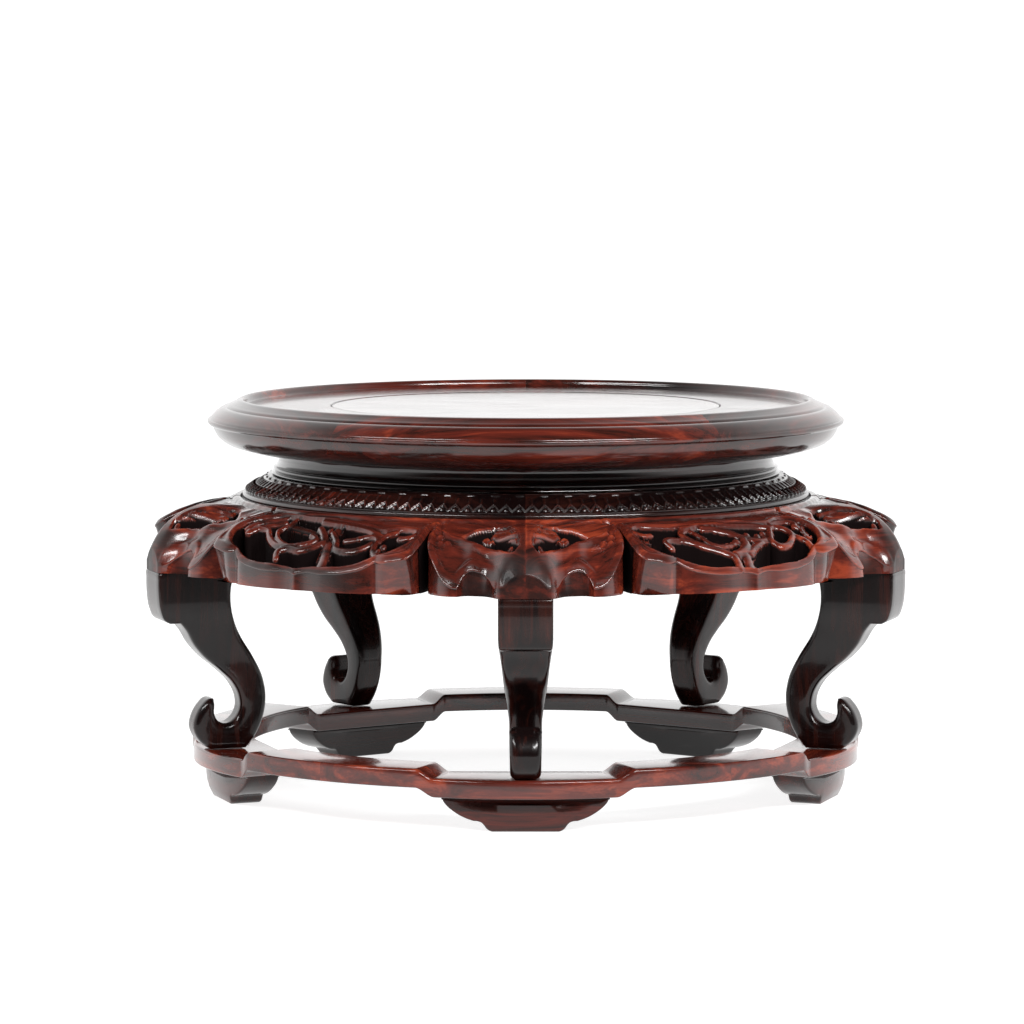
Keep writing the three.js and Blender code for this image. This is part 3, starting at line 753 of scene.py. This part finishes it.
def carving(x, y, window, strokes):
    """Depth of solid wood inside the apron's outline in plan, and the height of its face."""
    r = np.hypot(x, y)
    angle = np.degrees(np.arctan2(y, x))
    level = dome(angle, r)
    level = level + TOOL_MARKS * np.sin(x * 0.83 + 1.7) * np.sin(y * 0.71 + 0.4)
    d_edge, _ = distance_to(x, y, EDGE_LINE)
    closed_edge = np.concatenate([EDGE_LINE, [(0, 0)]])
    d_edge = np.where(is_inside(x, y, closed_edge), d_edge, -d_edge)
    solid = -depth_inside(x, y, window)
    near_leg = smoothstep((PLATE_HALF_WIDTH - across_leg(angle, r)) / 2)
    outer_drop = eased_drop(d_edge, EDGE_ROUNDING + PLATE_ROUNDING * near_leg)
    face = level - np.maximum(outer_drop, eased_drop(solid, EDGE_ROUNDING))
    inward = np.minimum(d_edge, solid)
    middle, half_width, height = EDGE_BEAD
    bead = height * bump(inward - middle, half_width) ** 2
    middle, half_width, height = EDGE_GROOVE
    groove = height * bump(inward - middle, half_width)
    face = face + (bead - groove) * (1 - near_leg)
    middle, half_width, height = RIM_BEAD
    face = face + height * np.sqrt(bump(r - middle, half_width))
    middle, half_width, height = RIM_GROOVE
    face = face - height * bump(r - middle, half_width)
    for side in (-1, 1):
        face = carve_shoulder(x, y * side, level, face)
    face = np.where(solid >= 0, face, OUTSIDE)
    reach = solid
    for w0, w1, drop, points in strokes:
        d, share = distance_to(x, y, line_of(points))
        width = w0 + (w1 - w0) * share
        stroke = level - drop - 0.8 * edge_drop(width - d, width)
        open_side = solid < STROKE_OVERLAP
        face = np.where((d < width) & open_side, np.maximum(face, stroke), face)
        reach = np.where(open_side, np.maximum(reach, width - d), reach)
    face = np.where(face < 0, level - 1.2, face)
    return np.minimum(d_edge, reach), face


def apron_back(x, y):
    """Height of the apron's underside, which steps up over the mitred top of a leg."""
    r = np.hypot(x, y)
    angle = np.abs(np.degrees(np.arctan2(y, x)))
    back = np.interp(r, (APRON_INNER_R, APRON_BACK_R), (APRON_BACK_Z, APRON_BOTTOM_Z))
    across = across_leg(angle, r)
    along = r * np.cos(np.radians(HALF_SECTOR - angle))
    leg_front = np.interp(along, *np.transpose(HIDDEN_FACE))
    roof = np.minimum(ROOF_Z - across, leg_front) + ROOF_GAP
    over_leg = (across < LEG_HALF_WIDTH + SIDE_GAP) & (along > SHOULDER_R - SHOULDER_GAP)
    over_leg &= along < HIDDEN_END_R
    return np.where(over_leg, np.maximum(back, roof), back)


def snapped_grid(window, strokes):
    """Plan points of a polar grid and their depths in the wood.

    Points close to the outlines are pulled onto them.
    """
    end = math.radians(HALF_SECTOR - SEAM_ANGLE)
    columns = round(2 * end * GRID_MIDDLE_R / GRID_SPACING)
    rows = round((GRID_OUTER_R - APRON_INNER_R) / GRID_SPACING)
    angles = np.linspace(-end, end, columns + 1)
    radii = np.linspace(APRON_INNER_R, GRID_OUTER_R, rows + 1)
    a, r = np.meshgrid(angles, radii)
    field, _ = carving(r * np.cos(a), r * np.sin(a), window, strokes)
    by_r = np.gradient(field, radii, axis=0)
    by_a = np.gradient(field, angles, axis=1) / r
    by_a[:, (0, -1)] = 0
    steep = np.maximum(by_r**2 + by_a**2, 0.2)
    snap = np.abs(field) < SNAP_SHARE * GRID_SPACING
    snap[0, :] = False
    dr = np.where(snap, -field * by_r / steep, 0)
    da = np.where(snap, -field * by_a / steep, 0) / r
    x, y = (r + dr) * np.cos(a + da), (r + dr) * np.sin(a + da)
    return x, y, np.where(snap, 0.0, field)


def solid_polygons(x, y, field):
    """Plan points and polygons of the part of a grid whose depth is 0 or more."""
    rows, wide = field.shape[0] - 1, field.shape[1]
    points = list(zip(x.ravel().tolist(), y.ravel().tolist()))
    value = field.ravel().tolist()
    corners = np.arange(rows * wide).reshape(rows, wide)[:, :-1].ravel()
    cells = np.column_stack([corners, corners + wide, corners + wide + 1, corners + 1])
    count = (field.ravel()[cells] >= 0).sum(axis=1)
    polygons = [tuple(c) for c in cells[count == 4].tolist()]
    crossings = {}

    def crossing(inner, outer):
        key = (inner, outer)
        if key not in crossings:
            t = value[inner] / (value[inner] - value[outer])
            (x0, y0), (x1, y1) = points[inner], points[outer]
            points.append((x0 + t * (x1 - x0), y0 + t * (y1 - y0)))
            crossings[key] = len(points) - 1
        return crossings[key]

    for cell in cells[(count > 0) & (count < 4)].tolist():
        polygon = []
        for k in range(4):
            here, after = cell[k], cell[(k + 1) % 4]
            if value[here] >= 0:
                polygon.append(here)
            if value[here] > 0 > value[after]:
                polygon.append(crossing(here, after))
            if value[here] < 0 < value[after]:
                polygon.append(crossing(after, here))
        if len(polygon) > 2:
            polygons.append(tuple(polygon))
    used = sorted({i for polygon in polygons for i in polygon})
    renumber = {old: new for new, old in enumerate(used)}
    plan = np.array([points[i] for i in used])
    return plan, [tuple(renumber[i] for i in polygon) for polygon in polygons]


def open_edges(polygons):
    """The edges that only one polygon has, in its direction."""
    edges = {}
    for polygon in polygons:
        for k, here in enumerate(polygon):
            after = polygon[(k + 1) % len(polygon)]
            if (after, here) in edges:
                del edges[(after, here)]
            else:
                edges[(here, after)] = True
    return list(edges)


def outward_directions(plan, edges):
    """Unit directions in plan that point out of the wood at the ends of the edges."""
    outward = np.zeros_like(plan)
    for here, after in edges:
        along = plan[after] - plan[here]
        for i in (here, after):
            outward[i] += (along[1], -along[0])
    return outward / np.maximum(np.linalg.norm(outward, axis=1), 1e-9)[:, None]


def painted_shade_levels(angle, r, top, to_edge, outer):
    """Painted shade of the points, from 0 to 1, for each level from the face down, most deep in the
    carving.
    """
    sunk = np.clip((dome(angle, r) - top - 1.4) / 3, 0, 1) * (to_edge > 2.5)
    plate = smoothstep((13 - across_leg(angle, r)) / 6) * smoothstep((r - 134) / 10)
    gap = np.exp(-(((np.abs(angle) - GAP_ANGLE) / 0.7) ** 2)) * smoothstep((135 - r) / 5)
    low, high = COVE_ANGLES
    cove = COVE_SHADE * smoothstep(np.abs(angle) - low) * smoothstep(high - np.abs(angle))
    below = np.where(outer, np.maximum(gap, cove), 1.0)
    # Painted shade on the face, then on each level of the walls below it
    depths = [np.maximum(sunk, PLATE_SHADE * plate)]
    depths += [np.maximum(below * share, PLATE_SHADE * plate) for share in WALL_SHADES]
    return np.concatenate(depths)


def carve_apron(window, strokes):
    """Points, faces and painted shade of an apron."""
    plan, polygons = solid_polygons(*snapped_grid(window, strokes))
    edges = open_edges(polygons)
    _, top = carving(plan[:, 0], plan[:, 1], window, strokes)
    bottom = apron_back(plan[:, 0], plan[:, 1])
    top = np.maximum(top, bottom + THINNEST)
    r = np.hypot(plan[:, 0], plan[:, 1])
    angle = np.degrees(np.arctan2(plan[:, 1], plan[:, 0]))
    to_edge, _ = distance_to(plan[:, 0], plan[:, 1], EDGE_LINE)
    outer = to_edge < OUTER_WALL_REACH
    outward = outward_directions(plan, edges)
    off_leg = smoothstep((across_leg(angle, r) - LEG_HALF_WIDTH) / 2)
    low, high = LOBE_SIDE_ANGLES
    lobe_side = smoothstep((np.abs(angle) - low) / 6) * (np.abs(angle) < high)
    pull = LOBE_FLARE * lobe_side * smoothstep((r - 124) / 12) * outer
    foot = plan * (1 - pull / r)[:, None]
    levels = [np.column_stack([plan, top])]
    for drop, bulge in WALL_BEAD:
        push = np.where(outer, bulge * off_leg, 0)[:, None] * outward
        levels.append(np.column_stack([plan + push, np.maximum(top - drop, bottom + 0.05)]))
    levels.append(np.column_stack([foot, bottom]))
    total = len(plan)
    faces = list(polygons)
    for here, after in edges:
        for i in range(len(levels) - 1):
            upper, lower = i * total, (i + 1) * total
            faces.append((after + upper, here + upper, here + lower, after + lower))
    faces += [tuple(i + (len(levels) - 1) * total for i in reversed(face)) for face in polygons]
    return np.concatenate(levels), faces, painted_shade_levels(angle, r, top, to_edge, outer)


def add_aprons():
    right = carve_apron(shape_of(RIGHT_WINDOW), RIGHT_STROKES)
    left = carve_apron(shape_of(LEFT_WINDOW), LEFT_STROKES)
    shapes = (right, left, right, right, left)
    # The tones are partly painted light: the front-right apron lighter as if lit, the left-front and side
    # aprons darker as if in shade
    tones = (0.62, 0.26, 0.44, 0.26, 0.52)
    for i in range(SIDES):
        azimuth = FRONT + (i + 0.5) * SECTOR
        wood = rosewood(f"apron_wood_{i + 1}", azimuth, "y", tones[i], 41 + i, gloss=0.2, carved=True)
        points, faces, painted_shade = shapes[i]
        add_piece(f"apron_carving_{i + 1}", f"apron_{i + 1}", "apron", points, faces, azimuth, wood,
                  sharp=50, painted_shade=painted_shade)


# Legs

LEG_OUTLINE = path(
    [(74.5, 129.1), (84.2, 129.1)],
    [(84.2, 109)],
    [(97.2, 109)],
    [(97.2, ROOF_Z)],
    HIDDEN_FACE,
    [(144.3, 86.5), (145.3, 86.4)],
    [(145.5, 86.0), (145.5, 84), (145.4, 79), (144.4, 72), (143, 68.8), (140.8, 67.5)],
    [(136.8, 67.5)],
    [(134.4, 64.6), (131, 58.8), (127, 54.2), (120.8, 49), (115.9, 44), (113.5, 39), (113.2, 35),
     (114.9, 31.4), (118.4, 29.2), (121.6, 30.3), (123.0, 33.2), (122.9, 36.4), (123.3, 38.6)],
    [(125.0, 38.6), (127.6, 36.4), (130, 32.4), (130.9, 28), (129, 23.4), (124.4, 19.7)],
    [(111, 19.7)],
    [(107, 24.8), (104.2, 31.4), (103.2, 38.6), (104.6, 46.2), (108.6, 54.2), (113.4, 61.8), (116.8, 69),
     (117.9, 76), (116.8, 84), (110, 92), (96, 98), (74.5, 103)],
    [(74.5, 129.1)],
    step=1.1,
)[:-1]
LEG_TAPER = np.array([(19.7, 5.6), (39, 5.9), (46, 6.8), (52, 7.7), (61, 8.6), (67.5, 9.5), (72, 9.8)])


def leg_half_width(z):
    return np.interp(z, LEG_TAPER[:, 0], LEG_TAPER[:, 1])


def add_legs():
    bevel = 0.8 + 1.6 * smoothstep((70 - LEG_OUTLINE[:, 1]) / 8)
    points, faces = slab(LEG_OUTLINE, leg_half_width, bevel[:, None])
    under_apron = (points[:, 0] > SHOULDER_R - 0.2) & (points[:, 2] > 85)
    roof = ROOF_Z - np.abs(points[:, 1])
    points[:, 2] = np.where(under_apron, np.minimum(points[:, 2], roof), points[:, 2])
    tones = (0.06, 0.03, 0.22, 0.22, 0.04)
    for i in range(SIDES):
        azimuth = FRONT + i * SECTOR
        wood = rosewood(f"leg_wood_{i + 1}", azimuth, "z", tones[i], 51 + i, gloss=0.2, sheen=0.5)
        add_piece(f"leg_scroll_{i + 1}", f"leg_{i + 1}", "leg", points, faces, azimuth, wood)


# Base ring and feet

def base_section(angle):
    a = abs(angle)
    share = float(smoothstep((a - PLATFORM_HALF_ANGLE) / (HUMP_START_ANGLE - PLATFORM_HALF_ANGLE)))
    along = min(1, a / PLATFORM_HALF_ANGLE) ** 2
    outer = PLATFORM_MIDDLE_R + (PLATFORM_CORNER_R - PLATFORM_MIDDLE_R) * along
    inner = PLATFORM_INNER_MIDDLE_R + (PLATFORM_INNER_CORNER_R - PLATFORM_INNER_MIDDLE_R) * along
    outer += share * (HUMP_OUTER_R - outer)
    inner += share * (HUMP_INNER_R - inner)
    top = PLATFORM_TOP_Z + share * HUMP_RISE
    bottom = top - BASE_THICKNESS
    # Corner, radius of its rounding, and the angle where the rounding starts
    corners = (
        (inner, bottom, 0.5, 180),
        (outer, bottom, 0.6, 270),
        (outer, top, 1.1, 0),
        (inner, top, 0.9, 90),
    )
    section = []
    for r, z, radius, start in corners:
        sign_r = 1 if r == inner else -1
        sign_z = 1 if z == bottom else -1
        for turn in np.radians(start + np.linspace(0, 90, 6)):
            section.append((r + sign_r * radius + radius * math.cos(turn),
                            z + sign_z * radius + radius * math.sin(turn)))
    return section


FOOT_HALF = path(
    [(30.6, 12.3), (30.1, 10.8), (28.6, 9.0), (25.8, 6.9), (22.2, 5.0), (18.8, 3.9)],
    [(17.2, 3.8), (15.9, 3.3), (15.0, 2.2), (14.2, 1.0), (12.9, 0.2), (12.2, 0.0)],
    step=0.7,
)


def add_base():
    end = HALF_SECTOR - SEAM_ANGLE
    angles = np.concatenate([
        np.linspace(-end, -19, 18),
        np.linspace(-18.6, -15, 24),
        np.linspace(-14, 14, 29),
        np.linspace(15, 18.6, 24),
        np.linspace(19, end, 18),
    ])
    base = sweep(base_section, angles)
    outline = np.concatenate([FOOT_HALF[::-1], FOOT_HALF * (-1, 1)])
    points, faces = slab(outline, lambda z: np.full(len(z), FOOT_DEPTH / 2), 0.8)
    turn = points[:, 0] / FOOT_OUTER_R
    tuck = 1.2 * (1 - smoothstep(points[:, 2] / 4)) * (points[:, 1] > 0)
    r = FOOT_OUTER_R - FOOT_DEPTH / 2 + points[:, 1] - tuck
    foot = np.column_stack([r * np.cos(turn), r * np.sin(turn), points[:, 2]])
    tones = (0.70, 0.74, 0.44, 0.46, 0.74)
    for i in range(SIDES):
        azimuth = FRONT + i * SECTOR
        wood = rosewood(f"base_wood_{i + 1}", azimuth, "y", tones[i], 61 + i)
        add_piece(f"base_arc_{i + 1}", f"base_segment_{i + 1}", "base_ring", *base, azimuth, wood)
        tone = tones[i] - 0.36
        wood = rosewood(f"foot_wood_{i + 1}", azimuth, "y", tone, 71 + i, gloss=0.22, sheen=0.6)
        add_piece(f"foot_bracket_{i + 1}", f"bracket_foot_{i + 1}", "bracket_foot", foot, faces, azimuth,
                  wood)


def finish_hidden_joinery():
    """The keys and battens keep their CAD shapes and get wood of their own."""
    for name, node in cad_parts.items():
        if "_key_" in name or name.startswith("panel_batten"):
            tone = 0.62 if "_key_" in name else 0.26
            wood = rosewood(f"{name}_wood", 0, "y", tone, len(name), gloss=0.4)
            node.data.materials.clear()
            node.data.materials.append(wood)


# Surroundings

CAMERA_DISTANCE = 2.094
CAMERA_PITCH = 5.886
AIM_UP = 0.805
AIM_LEFT = 0.142
TARGET_Z = 0.075
LENS = 194.4
SENSOR_WIDTH = 36
LIGHT_SIZE = (1.3, 0.16)
FLOOR_COLOUR = (0.50, 0.50, 0.50, 1)
FLOOR_GLOW = 0.85

# The studio's level rises with the distance behind and to the sides, and falls with height
SIDE_SHARE = 0.75
HEIGHT_SHARE = -0.8
STUDIO_RANGE = (-0.35, 0.65, 0.03, 1.25)


def add_camera():
    data = bpy.data.cameras.new("camera")
    data.lens = LENS
    data.sensor_width = SENSOR_WIDTH
    camera = bpy.data.objects.new("camera", data)
    bpy.context.scene.collection.objects.link(camera)
    pitch = math.radians(CAMERA_PITCH)
    height = TARGET_Z + CAMERA_DISTANCE * math.sin(pitch)
    camera.location = (0, -CAMERA_DISTANCE * math.cos(pitch), height)
    camera.rotation_euler = (math.radians(90 - CAMERA_PITCH + AIM_UP), 0, math.radians(AIM_LEFT))
    bpy.context.scene.camera = camera


def add_area_light(name, location, power, target=(0, 0, 0.09)):
    data = bpy.data.lights.new(name, "AREA")
    data.shape = "RECTANGLE"
    data.size, data.size_y = LIGHT_SIZE
    data.energy = power
    light = bpy.data.objects.new(name, data)
    bpy.context.scene.collection.objects.link(light)
    light.location = location
    light.rotation_euler = (Vector(target) - Vector(location)).to_track_quat("-Z", "Y").to_euler()


def add_floor():
    mesh = bpy.data.meshes.new("floor")
    side, front, back = 2.5, -0.6, 4.0
    corners = [(-side, front, 0), (side, front, 0), (side, back, 0), (-side, back, 0)]
    mesh.from_pydata(corners, [], [(0, 1, 2, 3)])
    floor = bpy.data.objects.new("floor", mesh)
    bpy.context.scene.collection.objects.link(floor)
    material = bpy.data.materials.new("floor_paper")
    material.use_nodes = True
    nodes = material.node_tree.nodes
    links = material.node_tree.links
    shader = nodes["Principled BSDF"]
    shader.inputs["Base Color"].default_value = FLOOR_COLOUR
    shader.inputs["Roughness"].default_value = 0.9
    shader.inputs["Specular IOR Level"].default_value = 0.1
    glow = nodes.new("ShaderNodeEmission")
    seen = nodes.new("ShaderNodeLightPath")
    both = nodes.new("ShaderNodeMath")
    both.operation = "MAXIMUM"
    level = nodes.new("ShaderNodeMath")
    level.operation = "MULTIPLY"
    level.inputs[1].default_value = FLOOR_GLOW
    total = nodes.new("ShaderNodeAddShader")
    links.new(seen.outputs["Is Camera Ray"], both.inputs[0])
    links.new(seen.outputs["Is Glossy Ray"], both.inputs[1])
    links.new(both.outputs[0], level.inputs[0])
    links.new(level.outputs[0], glow.inputs["Strength"])
    links.new(shader.outputs[0], total.inputs[0])
    links.new(glow.outputs[0], total.inputs[1])
    links.new(total.outputs[0], nodes["Material Output"].inputs["Surface"])
    mesh.materials.append(material)


def add_world():
    """A soft studio: white low down behind and at both sides, dark above and near the camera."""
    world = bpy.data.worlds.new("studio")
    world.use_nodes = True
    bpy.context.scene.world = world
    nodes = world.node_tree.nodes
    links = world.node_tree.links
    background = nodes["Background"]
    place = nodes.new("ShaderNodeTexCoord")
    split = nodes.new("ShaderNodeSeparateXYZ")
    side = nodes.new("ShaderNodeMath")
    side.operation = "ABSOLUTE"
    sum_sides = nodes.new("ShaderNodeMath")
    sum_sides.operation = "MULTIPLY_ADD"
    sum_sides.inputs[1].default_value = SIDE_SHARE
    ramp = nodes.new("ShaderNodeMapRange")
    ramp.interpolation_type = "SMOOTHSTEP"
    for key, number in zip(RANGE_INPUTS, STUDIO_RANGE):
        ramp.inputs[key].default_value = number
    seen = nodes.new("ShaderNodeLightPath")
    white = nodes.new("ShaderNodeMath")
    white.operation = "MAXIMUM"
    links.new(place.outputs["Generated"], split.inputs[0])
    links.new(split.outputs["X"], side.inputs[0])
    links.new(side.outputs[0], sum_sides.inputs[0])
    links.new(split.outputs["Y"], sum_sides.inputs[2])
    overhead = nodes.new("ShaderNodeMath")
    overhead.operation = "MULTIPLY_ADD"
    overhead.inputs[1].default_value = HEIGHT_SHARE
    links.new(split.outputs["Z"], overhead.inputs[0])
    links.new(sum_sides.outputs[0], overhead.inputs[2])
    links.new(overhead.outputs[0], ramp.inputs["Value"])
    links.new(ramp.outputs["Result"], white.inputs[0])
    links.new(seen.outputs["Is Camera Ray"], white.inputs[1])
    links.new(white.outputs[0], background.inputs["Strength"])
    background.inputs["Color"].default_value = (1, 1, 1, 1)


add_camera()
add_top()
add_neck()
add_aprons()
add_legs()
add_base()
finish_hidden_joinery()
add_floor()
add_world()
add_area_light("key", (0.8, -1.5, 1.1), power=30)
add_area_light("fill", (-1.2, -1.1, 1.3), power=15)
bpy.context.scene.view_settings.view_transform = "Standard"
